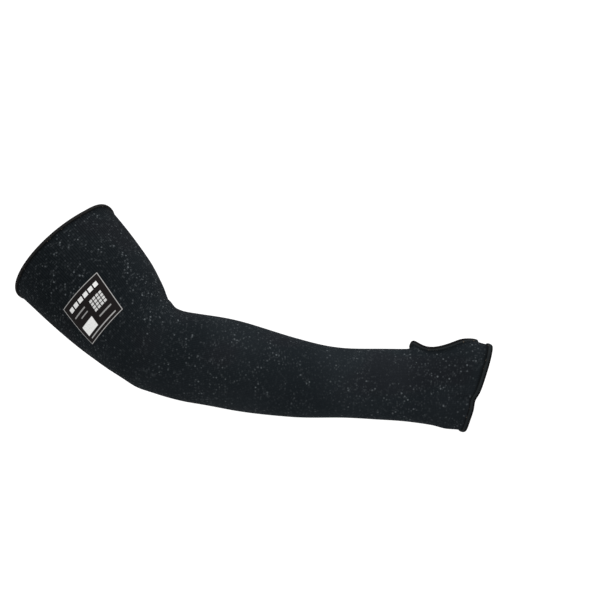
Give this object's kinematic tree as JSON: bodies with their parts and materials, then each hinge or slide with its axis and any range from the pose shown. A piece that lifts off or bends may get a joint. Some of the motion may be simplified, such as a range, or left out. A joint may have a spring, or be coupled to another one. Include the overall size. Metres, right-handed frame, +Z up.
{
  "type": "cut resistant sleeve",
  "caption": "Seamless knitted work sleeve for the arm and palm, in its worn form with a bent elbow, overlocked edges, a thumb hole and a square upper-arm label.",
  "frame": {"origin": "middle of the opening at the upper arm, on the arm's centre line", "axes": "+X along the forearm towards the hand, +Z up on the thumb side, +Y towards the palm side, behind the outer face"},
  "size_m": [0.4657, 0.1319, 0.222],
  "materials": {
    "knit": "bluish black fine rib knit with small pale grey flecks",
    "hem": "black overlocked thread",
    "label": "smooth near-black label with a pale grey border"
  },
  "bodies": {
    "root": {"sleeve_tube": "knit", "arm_hem": "hem", "hand_hem": "hem", "thumb_hem": "hem", "label_patch": "label"}
  },
  "joints": []
}
